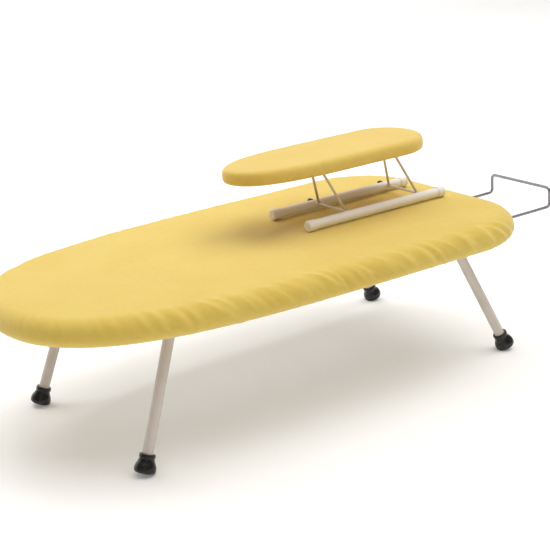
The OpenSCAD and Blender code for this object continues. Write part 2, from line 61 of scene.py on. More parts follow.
def mesh_piece(name, points, faces, uv=None):
    """A smooth piece from a grid of points and faces (m, 4) of point numbers, uv per point."""
    data = bpy.data.meshes.new(name)
    data.from_pydata(points.reshape(-1, 3).tolist(), [], faces.tolist())
    if uv is not None:
        layer = data.uv_layers.new(name="cloth")
        loops = np.empty(len(data.loops), np.int32)
        data.loops.foreach_get("vertex_index", loops)
        layer.data.foreach_set("uv", uv.reshape(-1, 2)[loops].astype(np.float32).ravel())
    data.polygons.foreach_set("use_smooth", np.full(len(data.polygons), True))
    piece = bpy.data.objects.new(name, data)
    bpy.context.scene.collection.objects.link(piece)
    return piece


def grid_faces(rows, columns, closed=True):
    """Quads of a grid of rows x columns points; closed joins the last column to the first."""
    r, c = np.meshgrid(np.arange(rows - 1), np.arange(columns if closed else columns - 1),
                       indexing="ij")
    r1, c1 = r + 1, (c + 1) % columns
    return np.stack([r * columns + c, r * columns + c1, r1 * columns + c1, r1 * columns + c],
                    -1).reshape(-1, 4)


def tidy_mesh(piece, gap=1e-6):
    """Merges points closer than gap, drops what collapsed, and points every face outwards."""
    b = bmesh.new()
    b.from_mesh(piece.data)
    bmesh.ops.remove_doubles(b, verts=b.verts, dist=gap)
    bmesh.ops.dissolve_degenerate(b, edges=b.edges, dist=gap)
    bmesh.ops.recalc_face_normals(b, faces=b.faces)
    b.to_mesh(piece.data)
    b.free()
    return piece


def smoothstep(x, low, high):
    """0 below low, 1 above high, and 3t^2 - 2t^3 between."""
    t = np.clip((x - low) / (high - low), 0, 1)
    return t * t * (3 - 2 * t)


def wander(s, around, waves, rng):
    """A closed random line over the arc s: the sum of cosines of 1 to waves turns, spread 1.

    size_k cos(2 pi k s / around + phase_k), every size and phase drawn at random.
    """
    k = np.arange(1, waves + 1)[:, None]
    phase = rng.uniform(0, TAU, (waves, 1))
    size = rng.normal(0, 1, (waves, 1))
    line = (size * np.cos(TAU * k * s[None] / around + phase)).sum(0)
    return line / np.sqrt((size ** 2).sum() / 2)


# ---- the boards' outline ----

def board_outline(tail_x, mid_y, length, width, corner, start, fullness, bluntness, count):
    """count points evenly spaced round a board seen from above, and their outward normals.

    From the middle of the tail: straight across, a quarter circle of radius corner, then the
    nose x = -start - (length - start) sin(t)^(2/fullness), y = width/2 cos(t)^(2/bluntness).
    """
    a = np.linspace(0, np.pi / 2, 200)
    t = np.linspace(0, np.pi / 2, 2400)[1:]
    start = max(start, corner)
    x = np.concatenate([[0.0], corner * (np.cos(a) - 1),
                        -start - (length - start) * np.sin(t) ** (2 / fullness)])
    y = np.concatenate([[0.0], width / 2 - corner + corner * np.sin(a),
                        width / 2 * np.maximum(np.cos(t), 0) ** (2 / bluntness)])
    x, y = np.concatenate([x, x[-2::-1]]), np.concatenate([y, -y[-2::-1]])
    run = np.concatenate([[0], np.cumsum(np.hypot(np.diff(x), np.diff(y)))])
    s = np.arange(count) * run[-1] / count
    points = np.stack([tail_x + np.interp(s, run, x), mid_y + np.interp(s, run, y)], -1)
    along = np.roll(points, -1, 0) - np.roll(points, 1, 0)
    along /= np.linalg.norm(along, axis=1)[:, None]
    return points, np.stack([along[:, 1], -along[:, 0]], -1), s, run[-1]


def edge_line(layer, mid_z, top, low, per_quarter, square=1.0):
    """(inset, z) of the padded edge a layer below the surface, from underneath to the top.

    Two quarter superellipses that meet at mid_z, low (width, height) below it and top above it:
    inset = w (1 - cos(a)^square), z = h sin(a)^square, so 1 is an ellipse and less is squarer.
    """
    a = np.linspace(0, np.pi / 2, per_quarter)
    near, far = np.cos(a) ** square, np.sin(a) ** square
    inset = np.concatenate([(layer + (low[0] - layer) * (1 - near))[::-1],
                            (layer + (top[0] - layer) * (1 - near))[1:]])
    z = np.concatenate([(mid_z - (low[1] - layer) * far)[::-1],
                        (mid_z + (top[1] - layer) * far)[1:]])
    return np.stack([inset, z], -1)


def rings(points, out, line):
    """The outline carried along a line of (inset, z): point - out * inset, at height z."""
    flat = points[None] - out[None] * line[:, 0, None, None]
    z = np.broadcast_to(line[:, 1, None, None], flat.shape[:2] + (1,))
    return np.concatenate([flat, z], -1)


def inner_rings(ring, spine_half, shares):
    """Rings that close a ring in towards its spine: ring + share (spine - ring), share 0 to 1.

    The spine is the ring pressed flat onto its middle line and spine_half shorter at each end.
    """
    low, high = ring[:, 0].min(), ring[:, 0].max()
    spine = ring.copy()
    spine[:, 0] = (low + spine_half
                   + (ring[:, 0] - low) / (high - low) * (high - low - 2 * spine_half))
    spine[:, 1] = (ring[:, 1].min() + ring[:, 1].max()) / 2
    return ring[None] + (spine - ring)[None] * np.asarray(shares)[:, None, None]


BOARD_LOW, BOARD_HIGH = node_box("board_cover")
SLEEVE_LOW, SLEEVE_HIGH = node_box("sleeve_cover")

# The padded boards: the outline's numbers, the (width, height) of the upper and lower rounding
# of the edge and how square it is, the hem's reach, the elastic's diameter, the thickness of the
# cloth, and how far below the cover's outside the padding starts.
BOARD = dict(
    box=(BOARD_LOW, BOARD_HIGH), corner=102 * MM, start=85 * MM, fullness=4.78, bluntness=2.34,
    top=(19.5 * MM, 18 * MM), low=(15 * MM, 13.7 * MM), square=1.0,
    hem=25 * MM, elastic=3 * MM, cloth=0.6 * MM, padding_depth=2.4 * MM)
SLEEVE = dict(
    box=(SLEEVE_LOW, SLEEVE_HIGH), corner=(SLEEVE_HIGH[1] - SLEEVE_LOW[1]) / 2, start=99.7 * MM,
    fullness=4.1, bluntness=2.16,
    top=(11 * MM, 11 * MM), low=(4.5 * MM, SLEEVE_HIGH[2] - SLEEVE_LOW[2] - 11 * MM),
    square=0.68, hem=15 * MM, elastic=2.4 * MM, cloth=0.5 * MM, padding_depth=1.6 * MM)


def outline_of(board, count):
    """The outline of one of the boards above, fitted to its box."""
    low, high = board["box"]
    return board_outline(high[0], (low[1] + high[1]) / 2, high[0] - low[0], high[1] - low[1],
                         board["corner"], board["start"], board["fullness"], board["bluntness"],
                         count)


# ---- covers ----

END_FOLDS = 0.12          # how strong the folds are where the outline runs straight across
REAR_FOLDS = 0.15         # how strong the rear side's folds are beside the front's
HEM_PLEATS = (-36 * MM, -17 * MM, -12 * MM, 2 * MM)  # pleats rise and fall, measured from the rim
SWELL_WAVES = 14
COVER_COLUMNS = 720


def fold_rows(s, around, v, along, layer, rng):
    """One family of soft folds: how far each pushes the cloth out at arc s and height v.

    A fold is a ridge exp(-(d / w)^2) with a valley beside it, d the distance from its slanting
    line and w its width, which grows upwards. It swells and dies away between two heights of
    its own, its foot and its head. along is how much of a lively long side each arc position
    lies on, from 0 to 1.
    """
    count = int(around / layer["spacing"])
    at = (np.arange(count) + rng.uniform(-0.42, 0.42, count)) * around / count
    side = np.interp(at, s, along, period=around)
    lively = (np.clip(0.75 + 0.4 * wander(at, around, 9, rng), 0.15, 1.3)
              * (END_FOLDS + (1 - END_FOLDS) * side))
    depth = layer["depth"] * rng.uniform(0.45, 1.25, count) * lively
    width = layer["spacing"] * rng.uniform(0.2, 0.36, count)
    slant = layer["slant"] * side * rng.uniform(0.6, 1.4, count)
    foot = layer["foot"] * rng.uniform(0.7, 1.5, count)
    head = layer["head"] * rng.uniform(0.65, 1.15, count)
    push = np.zeros((len(v), len(s)))
    up = v[:, None]
    for f in range(count):
        away = s[None] - at[f] - slant[f] * (up - layer["head"] / 2)
        away = (away + around / 2) % around - around / 2
        w = width[f] * (0.8 + 0.6 * np.clip(up / layer["head"], 0, 1))
        fade = (smoothstep(up, 0.2 * foot[f], 1.6 * foot[f])
                * (1 - smoothstep(up, 0.45 * head[f], head[f])))
        ridge = np.exp(-(away / w) ** 2)
        valley = np.exp(-((away - 1.6 * w) / (1.15 * w)) ** 2)
        push += depth[f] * fade * (ridge - 0.8 * valley)
    return push


def hem_pleats(s, around, v, marks, rng):
    """Small even pleats where the elastic gathers the hem, gone before the rim.

    0.5 + 0.5 cos(2 pi count s / around + wobble), times a size that wanders along the hem.
    """
    count = np.round(around / marks["pleat"])
    wobble = wander(s, around, 40, rng) * 0.35 * TAU
    pleats = 0.5 + 0.5 * np.cos(TAU * count * s / around + wobble)
    size = marks["pleat_depth"] * (0.7 + 0.3 * wander(s, around, 25, rng))
    start, full, fall, end = HEM_PLEATS
    near = smoothstep(v, start, full) * (1 - smoothstep(v, fall, end)) + 0.35 * (v < full)
    return np.clip(near, 0, 1)[:, None] * (pleats * size)[None]


def swells(points, reach, rng):
    """Faint broad unevenness of the padding: slow plane waves of random heading and length.

    The sum of sin(k (x cos(heading) + y sin(heading)) + phase), brought back to one wave's size.
    """
    height = np.zeros(points.shape[:-1])
    for _ in range(SWELL_WAVES):
        heading, phase = rng.uniform(0, TAU, 2)
        k = TAU / (reach * rng.uniform(0.6, 1.6))
        height += np.sin(k * (points[..., 0] * np.cos(heading) + points[..., 1] * np.sin(heading))
                         + phase)
    return height / SWELL_WAVES ** 0.5


def grid_normals(grid):
    """Unit normals of a grid of points whose columns close: the step across x the step along."""
    across = np.roll(grid, -1, 1) - np.roll(grid, 1, 1)
    along = np.gradient(grid, axis=0)
    normal = np.cross(across, along)
    size = np.linalg.norm(normal, axis=-1, keepdims=True)
    return normal / np.maximum(size, 1e-12)


def cloth_normals(skin):
    """Outward normals of a cover; the last rings crowd together on the flat top and point up."""
    normal = grid_normals(skin)
    normal[-3:] = [0, 0, 1]
    return normal


def make_cover(name, board, marks, count, seed):
    """A cotton cover as one closed skin, gathered over the edge onto an elastic under the board.

    The outline is carried along a line of (inset, z): round the elastic's channel, along the
    hem, round the padded edge and over the top. The inner face is the same skin moved in by the
    cloth's thickness along its own normals, so the folds show on both faces. Returns the piece,
    the outline's length and how far the flat cut reaches past the outline.
    """
    rng = np.random.default_rng(seed)
    points, out, s, around = outline_of(board, count)
    low, high = board["box"]
    top, bottom, cloth = board["top"], board["low"], board["cloth"]
    mid_z = high[2] - top[1]
    roll_r = board["elastic"] / 2 + cloth + 0.3 * MM
    turn = np.linspace(np.radians(150), np.radians(-90), 12)
    channel = np.stack([board["hem"] + 0.6 * board["elastic"] + roll_r * np.cos(turn),
                        low[2] + 0.63 * board["elastic"] + roll_r * np.sin(turn)], -1)
    under = np.stack([np.linspace(channel[-1, 0], bottom[0], 7)[1:-1],
                      np.linspace(channel[-1, 1], low[2], 7)[1:-1]], -1)
    edge = edge_line(0, mid_z, top, bottom, 15, board["square"])
    face = np.concatenate([channel, under, edge])
    length = np.concatenate([[0], np.cumsum(np.hypot(*np.diff(face, axis=0).T))])
    rim = length[len(channel) + len(under)]
    shares = np.linspace(0, 1, 24)[1:] ** 0.9
    spine = (high[1] - low[1]) / 2 - top[0]
    skin = rings(points, out, face)
    calm = inner_rings(skin[-1], spine, shares)
    skin = np.concatenate([skin, calm])
    v = np.concatenate([length, length[-1] + shares * spine]) - rim
    flat = points[None] + out[None] * (length[-1] - length - top[0])[:, None, None]
    uv = np.concatenate([flat, calm[..., :2]])
    along = np.where(out[:, 1] < 0, 1.0, REAR_FOLDS) * np.abs(out[:, 1])
    push = hem_pleats(s, around, v, marks, rng)
    for layer in marks["layers"]:
        push = push + fold_rows(s, around, v, along, layer, rng)
    even = smoothstep(v, 0.5 * rim, rim)[:, None]
    push = push + marks["swell"] * even * swells(skin, marks["swell_reach"], rng)
    skin = skin + cloth_normals(skin) * push[..., None]
    kept = np.unique(np.concatenate([np.arange(0, len(skin), 2), [len(skin) - 1]]))
    inside = (skin - cloth_normals(skin) * cloth)[kept]
    every = np.concatenate([inside[::-1], skin])
    uv = np.concatenate([uv[kept][::-1], uv])
    piece = mesh_piece(name, every, grid_faces(len(every), count), uv)
    return tidy_mesh(piece, 2e-6), around, length[-1] - top[0]


def cut_area(board, around, grown):
    """Area of a cover's flat cut, the outline grown by d: its own area + around d + pi d^2."""
    x, y = outline_of(board, COVER_COLUMNS)[0].T
    own = abs((x * np.roll(y, -1) - y * np.roll(x, -1)).sum()) / 2
    return own + around * grown + np.pi * grown ** 2


# ---- padding ----

def make_underlay(name, board, deck, lip, seed):
    """The foam-backed underlay: wrapped over the deck, round its rim and a little way under it.

    The outline is carried along a closed line of (inset, z): the padded edge a layer below the
    cover, over the top, and back along the deck, with the foam's slow random swell added.
    deck is the (low, high) box of the board inside, lip the foam's thickness under its rim.
    """
    rng = np.random.default_rng(seed)
    count = 480
    points, out, s, around = outline_of(board, count)
    low, high = board["box"]
    rim = high[0] - deck[1][0] - 0.3 * MM
    mid_z = high[2] - board["top"][1]
    edge = edge_line(board["padding_depth"], mid_z, board["top"], board["low"], 10,
                     board["square"])
    edge = edge[edge[:, 1] > low[2] + 1.9 * MM]
    foot_z = min(deck[0][2] - 0.3 * MM, edge[0, 1] + lip)
    reach = board["hem"] - 1 * MM
    wrap = np.array([[rim, foot_z], [reach, edge[0, 1] + 0.6 * lip],
                     [reach, edge[0, 1] + 0.1 * MM]])
    face = np.concatenate([[[rim, deck[1][2] + 0.3 * MM]], wrap, edge])
    skin = rings(points, out, face)
    swell = 0.35 * MM * wander(s, around, 30, rng)
    body = slice(len(wrap) + 1, len(face) - 2)
    skin[body, :, :2] += (out * swell[:, None])[None]
    spine = (high[1] - low[1]) / 2 - board["top"][0]
    shares = np.linspace(0, 1, 9)[1:]
    over, under = inner_rings(skin[-1], spine, shares), inner_rings(skin[0], spine, shares)
    every = np.concatenate([under[::-1], skin, over])
    return tidy_mesh(mesh_piece(name, every, grid_faces(len(every), count)), 2e-6)


# ---- feet and wires ----

JOINTS = {j["name"]: j for j in frame["record"]["behaviour"]["joints"]}
LEG_R = 6.35 * MM
FOOT_R = 12.2 * MM         # the bell's foot
FOOT_NECK_R = 8.8 * MM     # and its neck
FOOT_WORN = 1.4 * MM       # how much of the edge is worn flat on the table
FOOT_SPOKES = 80
# The legs: lean seen from the side, how far a foot spreads outwards, half their distance on top.
NOSE_LEG = dict(lean=np.radians(20.9), splay=14.3 * MM, half=114.3 * MM)
TAIL_LEG = dict(lean=np.radians(25), splay=17.5 * MM, half=117.6 * MM)
STAND_R = 1.65 * MM
STAND_LEAN = 25.2 * MM
STAND_FOOT_HALF = 28.4 * MM
STAND_TOP_HALF = 8.8 * MM
STAND_BEND_R = 3.5 * MM
AXLE_Z = JOINTS["stand_fold"]["pos_m"][2]
STAND_FOOT = {"nose_stand_wire": JOINTS["stand_fold"]["pos_m"][0],
              "tail_stand_wire": JOINTS["tail_stand_fold"]["pos_m"][0]}


def rounded(corners, radii, steps=7):
    """A line through corners with each inner one rounded off by a quadratic blend of its own
    radius: (1 - t)^2 p + 2 t (1 - t) corner + t^2 q, from p before the corner to q after it.
    """
    corners = np.asarray(corners, float)
    line = [corners[:1]]
    t = np.linspace(0, 1, steps)[:, None]
    for a, b, c, r in zip(corners, corners[1:], corners[2:], radii):
        p = b + (a - b) * min(r / np.linalg.norm(a - b), 0.49)
        q = b + (c - b) * min(r / np.linalg.norm(c - b), 0.49)
        line.append((1 - t) ** 2 * p + 2 * t * (1 - t) * b + t * t * q)
    line.append(corners[-1:])
    return np.concatenate(line)


def make_foot(name, pivot, side, row, leg):
    """A rubber foot: a bell profile (radius, height) spun about the leg's own line.

    The line falls from the leg's top at the pivot by (side tan(lean), splay, -1) to the table.
    What the leg's tilt would carry below the table is worn flat there.
    """
    fall = np.array([side * np.tan(leg["lean"]) * pivot[2], row * leg["splay"], -pivot[2]])
    up = -fall / np.linalg.norm(fall)
    tilt = np.arccos(up[2])
    length = pivot[2] / np.cos(leg["lean"])
    reach = length - (FOOT_R * np.sin(tilt) - FOOT_WORN) / np.cos(leg["lean"])
    base = np.array([pivot[0], row * leg["half"], pivot[2]]) + fall * reach / length
    wide, neck, tube = FOOT_R / MM, FOOT_NECK_R / MM, LEG_R / MM
    profile = rounded(
        [[0, 1.2], [4, 1.2], [5, 0], [wide, 0], [wide, 7.5], [neck + 0.6, 12.5],
         [neck - 0.3, 15.6], [neck - 0.2, 16.6], [neck + 0.35, 17.3], [neck + 0.2, 21.1],
         [tube + 0.5, 21.3], [tube, 20.6], [tube, 7], [0, 7]],
        [0.3, 0.4, 3.4, 4.0, 3.2, 2.0, 0.4, 0.5, 1.4, 0.8, 0.4, 1, 1]) * MM
    spoke_x = np.cross(up, [0.0, 1.0, 0.0])
    spoke_x /= np.linalg.norm(spoke_x)
    spoke_y = np.cross(up, spoke_x)
    a = np.arange(FOOT_SPOKES) * TAU / FOOT_SPOKES
    spoke = np.cos(a)[:, None] * spoke_x + np.sin(a)[:, None] * spoke_y
    points = base + profile[:, 1, None, None] * up + profile[:, 0, None, None] * spoke[None]
    points[..., 2] = np.maximum(points[..., 2], 0)
    return tidy_mesh(mesh_piece(name, points, grid_faces(len(profile), FOOT_SPOKES)))


def bent_line(corners, radius, step=8):
    """A route through corners with an arc of one radius at each inner corner:
    start + into r sin(t) + side r (1 - cos(t)), for t from 0 to the turn.
    """
    corners = np.asarray(corners, float)
    line = [corners[:1]]
    for a, b, c in zip(corners, corners[1:], corners[2:]):
        into = (b - a) / np.linalg.norm(b - a)
        away = (c - b) / np.linalg.norm(c - b)
        turn = np.arccos(into @ away)
        side = away - into * (into @ away)
        side /= np.linalg.norm(side)
        t = np.linspace(0, turn, step)[:, None]
        start = b - into * radius * np.tan(turn / 2)
        line.append(start + into * radius * np.sin(t) + side * radius * (1 - np.cos(t)))
    line.append(corners[-1:])
    return np.concatenate(line)


def make_wire(name, line, normal, radius, around=20):
    """A round wire: a circle of that radius carried along a flat route whose plane has normal."""
    step = np.diff(line, axis=0)
    step /= np.linalg.norm(step, axis=1)[:, None]
    way = np.concatenate([step[:1], step[:-1] + step[1:], step[-1:]])
    way /= np.linalg.norm(way, axis=1)[:, None]
    normal = np.asarray(normal) / np.linalg.norm(normal)
    side = np.cross(way, normal)
    a = np.arange(around) * TAU / around
    ring = np.cos(a)[None, :, None] * normal + np.sin(a)[None, :, None] * side[:, None]
    points = np.concatenate([np.repeat(line[:1, None], around, 1), line[:, None] + ring * radius,
                             np.repeat(line[-1:, None], around, 1)])
    return tidy_mesh(mesh_piece(name, points, grid_faces(len(points), around)))


def make_arch(name, node):
    """A sleeve stand's wire arch: up from the front collar, across the top and down behind.

    Its feet stand on the cross wire at the joint, and its top is a wire's radius inside its box.
    """
    low, high = node_box(node)
    mid_y = (low[1] + high[1]) / 2
    foot = np.array([STAND_FOOT[node], mid_y, AXLE_Z])
    top = np.array([STAND_FOOT[node] - STAND_LEAN, mid_y, high[2] - STAND_R])
    foot_side = np.array([0, STAND_FOOT_HALF, 0])
    top_side = np.array([0, STAND_TOP_HALF, 0])
    line = bent_line([foot - foot_side, top - top_side, top + top_side, foot + foot_side],
                     STAND_BEND_R, 10)
    return make_wire(name, line, np.cross(top - foot, [0, 1, 0]), STAND_R)


# ---- materials ----

def new_material(name, colour, rough, metal=0.0, **sockets):
    """A node material with its shader's plain values set on the shader itself."""
    m = bpy.data.materials.new(name)
    m.use_nodes = True
    m.diffuse_color = (*colour, 1)
    shader = m.node_tree.nodes["Principled BSDF"]
    shader.inputs["Base Color"].default_value = (*colour, 1)
    shader.inputs["Roughness"].default_value = rough
    shader.inputs["Metallic"].default_value = metal
    for socket, value in sockets.items():
        shader.inputs[socket.replace("_", " ")].default_value = value
    return m, m.node_tree, shader


def add(tree, kind, **values):
    """A node of that kind; keys set its properties, or the inputs of those names."""
    n = tree.nodes.new(kind)
    for key, value in values.items():
        if hasattr(n, key):
            setattr(n, key, value)
        else:
            n.inputs[key.replace("_", " ")].default_value = value
    return n


def noise(tree, place, scale, detail=2.0, rough=0.5):
    """Fractal noise with that many bumps a metre, about 0.3 to 0.7."""
    n = add(tree, "ShaderNodeTexNoise", Scale=scale, Detail=detail, Roughness=rough)
    tree.links.new(place, n.inputs["Vector"])
    return n.outputs["Fac"]


def calc(tree, operation, a, b=0.0):
    """One sum on two sockets or plain numbers."""
    n = add(tree, "ShaderNodeMath", operation=operation)
    for socket, value in zip(n.inputs, (a, b)):
        if isinstance(value, (int, float)):
            socket.default_value = value
        else:
            tree.links.new(value, socket)
    return n.outputs[0]


def spread(tree, value, low=0.0, high=1.0):
    """Maps a noise's usual range onto low to high."""
    n = add(tree, "ShaderNodeMapRange", From_Min=0.3, From_Max=0.7, To_Min=low, To_Max=high)
    tree.links.new(value, n.inputs["Value"])
    return n.outputs["Result"]


def tint(tree, shader, share, low, high):
    """The base colour runs from low to high over a share from 0 to 1."""
    n = tree.nodes.new("ShaderNodeValToRGB")
    n.color_ramp.elements[0].color = (*low, 1)
    n.color_ramp.elements[1].color = (*high, 1)
    tree.links.new(share, n.inputs["Fac"])
    tree.links.new(n.outputs["Color"], shader.inputs["Base Color"])


def roughen(tree, shader, value, low, high):
    """The roughness wanders from low to high with a noise."""
    tree.links.new(spread(tree, value, low, high), shader.inputs["Roughness"])


def bump(tree, shader, height, strength, distance):
    """Small relief: height 1 stands distance metres proud."""
    n = add(tree, "ShaderNodeBump", Strength=strength, Distance=distance)
    tree.links.new(height, n.inputs["Height"])
    tree.links.new(n.outputs["Normal"], shader.inputs["Normal"])


def object_place(tree):
    """Where a point lies on the piece, in metres."""
    return tree.nodes.new("ShaderNodeTexCoord").outputs["Object"]


def cloth_place(tree):
    """Where a point lies on the flat cloth, in metres."""
    n = tree.nodes.new("ShaderNodeUVMap")
    n.uv_map = "cloth"
    return n.outputs["UV"]


def weave(tree, place, thread):
    """Plain weave of threads of that width: 0.5 + 0.5 sin(k x) sin(k y), k = pi / thread."""
    split = tree.nodes.new("ShaderNodeSeparateXYZ")
    tree.links.new(place, split.inputs[0])
    k = np.pi / thread
    along = calc(tree, "SINE", calc(tree, "MULTIPLY", split.outputs[0], k))
    across = calc(tree, "SINE", calc(tree, "MULTIPLY", split.outputs[1], k))
    over = calc(tree, "MULTIPLY", along, across)
    return calc(tree, "ADD", calc(tree, "MULTIPLY", over, 0.5), 0.5)


def cotton(name, colour, deep):
    """Washed cotton: plain weave with uneven threads, faint blotches of dye and a soft nap."""
    m, tree, shader = new_material(name, colour, 0.88, Sheen_Weight=0.35, Sheen_Roughness=0.5,
                                   Specular_IOR_Level=0.25)
    place = cloth_place(tree)
    threads = weave(tree, place, 0.45 * MM)
    slub = noise(tree, place, 900, 3)
    dye = noise(tree, place, 14, 3)
    fine = noise(tree, place, 160, 2)
    share = calc(tree, "ADD", calc(tree, "MULTIPLY", dye, 0.6), calc(tree, "MULTIPLY", fine, 0.4))
    tint(tree, shader, spread(tree, share), deep, colour)
    roughen(tree, shader, slub, 0.82, 0.94)
    height = calc(tree, "ADD", calc(tree, "MULTIPLY", threads, 0.6), slub)
    bump(tree, shader, height, 0.35, 0.0002)
    return m


def foam_felt(name, colour):
    """Matt felt: short random fibres and pores."""
    m, tree, shader = new_material(name, colour, 0.95, Sheen_Weight=0.3)
    place = object_place(tree)
    pores = noise(tree, place, 700, 4, 0.7)
    tint(tree, shader, pores, tuple(0.8 * c for c in colour), colour)
    bump(tree, shader, pores, 0.6, 0.0006)
    return m


def enamel(name, colour, worn):
    """Sprayed enamel on steel: fine orange peel, faint dust and darker rubbed patches."""
    m, tree, shader = new_material(name, colour, 0.38, Coat_Weight=0.15, Coat_Roughness=0.3)
    place = object_place(tree)
    patches = noise(tree, place, 22, 4, 0.6)
    tint(tree, shader, spread(tree, patches), worn, colour)
    roughen(tree, shader, noise(tree, place, 60, 3), 0.32, 0.48)
    bump(tree, shader, noise(tree, place, 900, 2), 0.12, 0.0002)
    return m


def zinc(name, colour, grain, rough=0.36):
    """Zinc-plated steel: pale and dark crystals, and roughness that wanders."""
    m, tree, shader = new_material(name, colour, rough, 1.0)
    place = object_place(tree)
    cells = add(tree, "ShaderNodeTexVoronoi", Scale=grain)
    tree.links.new(place, cells.inputs["Vector"])
    dull = noise(tree, place, 90, 4, 0.6)
    share = calc(tree, "ADD", calc(tree, "MULTIPLY", cells.outputs["Distance"], 0.5),
                 calc(tree, "MULTIPLY", dull, 0.5))
    tint(tree, shader, share, tuple(0.72 * c for c in colour), colour)
    roughen(tree, shader, dull, rough - 0.08, rough + 0.12)
    bump(tree, shader, dull, 0.1, 0.0002)
    return m


def rubber(name, colour):
    """Moulded rubber: fine pitted skin, scuffed a little greyer in patches."""
    m, tree, shader = new_material(name, colour, 0.25, Specular_IOR_Level=0.5)
    place = object_place(tree)
    scuffs = noise(tree, place, 130, 5, 0.65)
    tint(tree, shader, spread(tree, scuffs), colour, tuple(c + 0.005 for c in colour))
    roughen(tree, shader, scuffs, 0.2, 0.34)
    bump(tree, shader, noise(tree, place, 1400, 3), 0.1, 0.0001)
    return m


def moulded(name, colour, shade, rough=0.35):
    """Moulded plastic: smooth with slight flow marks and a fine skin."""
    m, tree, shader = new_material(name, colour, rough, Specular_IOR_Level=0.45)
    place = object_place(tree)
    flow = noise(tree, place, 35, 3)
    tint(tree, shader, spread(tree, flow), shade, colour)
    roughen(tree, shader, noise(tree, place, 160, 3), rough - 0.05, rough + 0.1)
    bump(tree, shader, noise(tree, place, 800, 2), 0.08, 0.0002)
    return m


def plywood(name, pale, dark):
    """Sanded plywood face: long grain along the board, stretched noise bands with pores."""
    m, tree, shader = new_material(name, pale, 0.62)
    stretch = add(tree, "ShaderNodeMapping", Scale=(3, 60, 60))
    tree.links.new(object_place(tree), stretch.inputs["Vector"])
    grain = noise(tree, stretch.outputs["Vector"], 3.0, 5, 0.6)
    tint(tree, shader, spread(tree, grain), dark, pale)
    roughen(tree, shader, grain, 0.55, 0.7)
    bump(tree, shader, grain, 0.25, 0.0004)
    return m


def braid(name, colour):
    """Braided elastic: slanting ribs round the cord."""
    m, tree, shader = new_material(name, colour, 0.8, Sheen_Weight=0.2)
    place = object_place(tree)
    ribs = add(tree, "ShaderNodeTexWave", Scale=220.0, Distortion=1.5, bands_direction="DIAGONAL")
    tree.links.new(place, ribs.inputs["Vector"])
    tint(tree, shader, ribs.outputs["Fac"], tuple(0.75 * c for c in colour), colour)
    bump(tree, shader, ribs.outputs["Fac"], 0.5, 0.0004)
    return m


MATERIALS = {
    "cover_cotton": cotton("cover_cotton", (0.78, 0.585, 0.13), (0.73, 0.52, 0.095)),
    "sleeve_cotton": cotton("sleeve_cotton", (0.80, 0.59, 0.15), (0.76, 0.53, 0.11)),
    "underlay_foam": foam_felt("underlay_foam", (0.80, 0.77, 0.66)),
    "elastic": braid("elastic", (0.80, 0.78, 0.72)),
    "deck_steel": enamel("deck_steel", (0.66, 0.64, 0.57), (0.58, 0.55, 0.47)),
    "zinc_steel": zinc("zinc_steel", (0.62, 0.62, 0.61), 420.0),
    "rivet_steel": zinc("rivet_steel", (0.68, 0.68, 0.68), 900.0, 0.3),
    "leg_enamel": enamel("leg_enamel", (0.70, 0.64, 0.59), (0.62, 0.56, 0.51)),
    "foot_rubber": rubber("foot_rubber", (0.004, 0.004, 0.0045)),
    "rest_wire": zinc("rest_wire", (0.34, 0.34, 0.36), 700.0, 0.34),
    "runner_plastic": moulded("runner_plastic", (0.90, 0.88, 0.85), (0.87, 0.84, 0.80)),
    "stand_enamel": enamel("stand_enamel", (0.84, 0.76, 0.64), (0.76, 0.67, 0.55)),
    "cap_plastic": moulded("cap_plastic", (0.06, 0.042, 0.03), (0.035, 0.024, 0.018), 0.45),
    "sleeve_wood": plywood("sleeve_wood", (0.58, 0.40, 0.21), (0.42, 0.26, 0.12)),
}


def paint(piece, slot):
    """Gives a piece its material."""
    piece.data.materials.clear()
    piece.data.materials.append(MATERIALS[slot])


SLOTS = {p["node"]: p["material_slot"] for p in frame["record"]["subparts"]}
for node, piece in frame["nodes"].items():
    for place in piece.material_slots:
        place.material = MATERIALS[SLOTS[node]]


# ---- soft goods ----

# The marks of gathering: hem pleats, padding swells, and rows of slanting folds from a foot
# height above the rim to a head height.
BOARD_FOLDS = dict(
    pleat=8.5 * MM, pleat_depth=0.9 * MM, swell=0.22 * MM, swell_reach=110 * MM,
    layers=[dict(spacing=20 * MM, depth=1.7 * MM, slant=-0.8, foot=16 * MM, head=84 * MM),
            dict(spacing=9 * MM, depth=1.0 * MM, slant=-0.9, foot=14 * MM, head=66 * MM)])
SLEEVE_FOLDS = dict(
    pleat=6.5 * MM, pleat_depth=0.6 * MM, swell=0.12 * MM, swell_reach=60 * MM,
    layers=[dict(spacing=17 * MM, depth=0.22 * MM, slant=-0.3, foot=4 * MM, head=26 * MM)])

SOFT_GOODS = (
    dict(board=BOARD, folds=BOARD_FOLDS, body="board", cotton="cover_cotton", seed=11,
         cover="board_cover_cloth", cover_node="board_cover",
         pad="underlay", pad_node="underlay_pad", inside="deck_plate", lip=1.8 * MM),
    dict(board=SLEEVE, folds=SLEEVE_FOLDS, body="sleeve_board", cotton="sleeve_cotton", seed=5,
         cover="sleeve_cover_cloth", cover_node="sleeve_cover",
         pad="sleeve_underlay", pad_node="sleeve_pad", inside="sleeve_deck", lip=1.0 * MM))

for goods in SOFT_GOODS:
    board = goods["board"]
    cover, around, grown = make_cover(goods["cover"], board, goods["folds"], COVER_COLUMNS,
                                      goods["seed"])
    paint(cover, goods["cotton"])
    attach(cover, goods["body"])
    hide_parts(goods["cover_node"])

    pad = make_underlay(goods["pad"], board, node_box(goods["inside"]), goods["lip"],
                        goods["seed"] + 1)
    paint(pad, "underlay_foam")
    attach(pad, goods["body"])
    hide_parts(goods["pad_node"])

    float(cut_area(board, around, grown))


# ---- feet and stand wires ----

